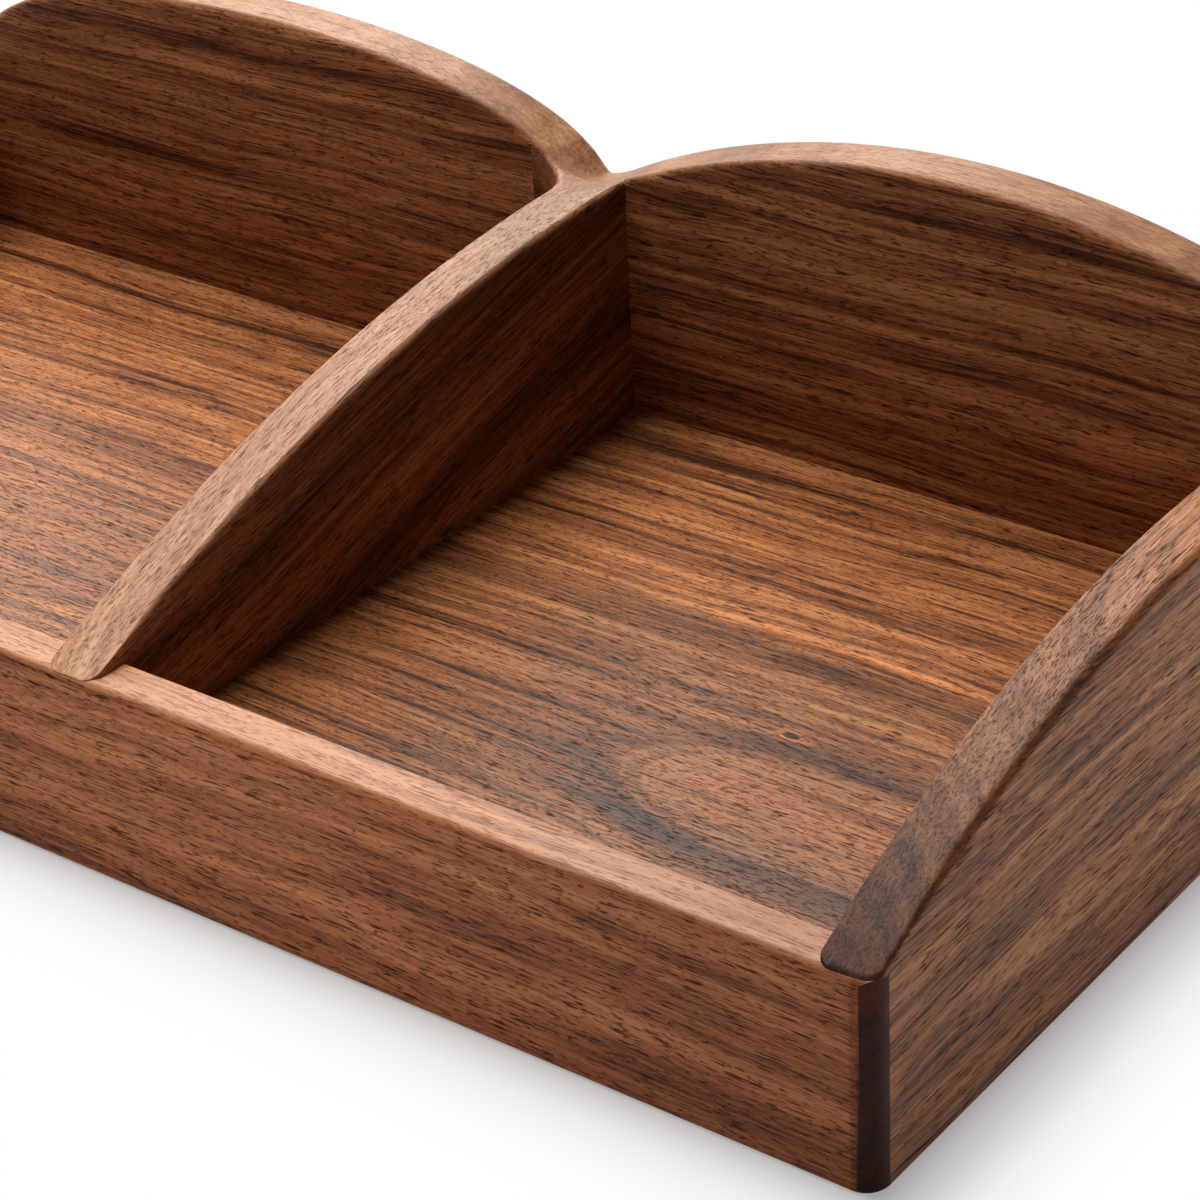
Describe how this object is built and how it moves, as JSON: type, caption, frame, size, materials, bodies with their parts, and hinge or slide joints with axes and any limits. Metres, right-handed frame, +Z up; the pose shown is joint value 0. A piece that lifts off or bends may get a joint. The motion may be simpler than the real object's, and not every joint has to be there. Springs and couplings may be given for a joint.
{
  "type": "valet box",
  "caption": "Open walnut valet box with side-by-side compartments, a low front board, swept sides and divider, and a back board with an arch over each compartment.",
  "frame": {"origin": "on the table, under the middle of the box", "axes": "+X to the right along the box's width, +Y from the front board to the back board, +Z up"},
  "size_m": [0.351, 0.17, 0.0907],
  "materials": {
    "walnut": "oiled satin walnut, dark brown with fine dark pores",
    "floor_walnut": "oiled satin walnut, redder, with dark streaks",
    "beech": "raw beech"
  },
  "bodies": {
    "root": {"front_board": "walnut", "back_board": "walnut", "left_side": "walnut", "right_side": "walnut", "centre_divider": "walnut", "floor_panel": "floor_walnut", "dowel_front_left_lower": "beech", "dowel_front_left_upper": "beech", "dowel_back_left_lower": "beech", "dowel_back_left_middle": "beech", "dowel_back_left_upper": "beech", "dowel_front_divider_upper": "beech", "dowel_back_divider_middle": "beech", "dowel_back_divider_upper": "beech", "dowel_front_right_lower": "beech", "dowel_front_right_upper": "beech", "dowel_back_right_lower": "beech", "dowel_back_right_middle": "beech", "dowel_back_right_upper": "beech"}
  },
  "joints": []
}
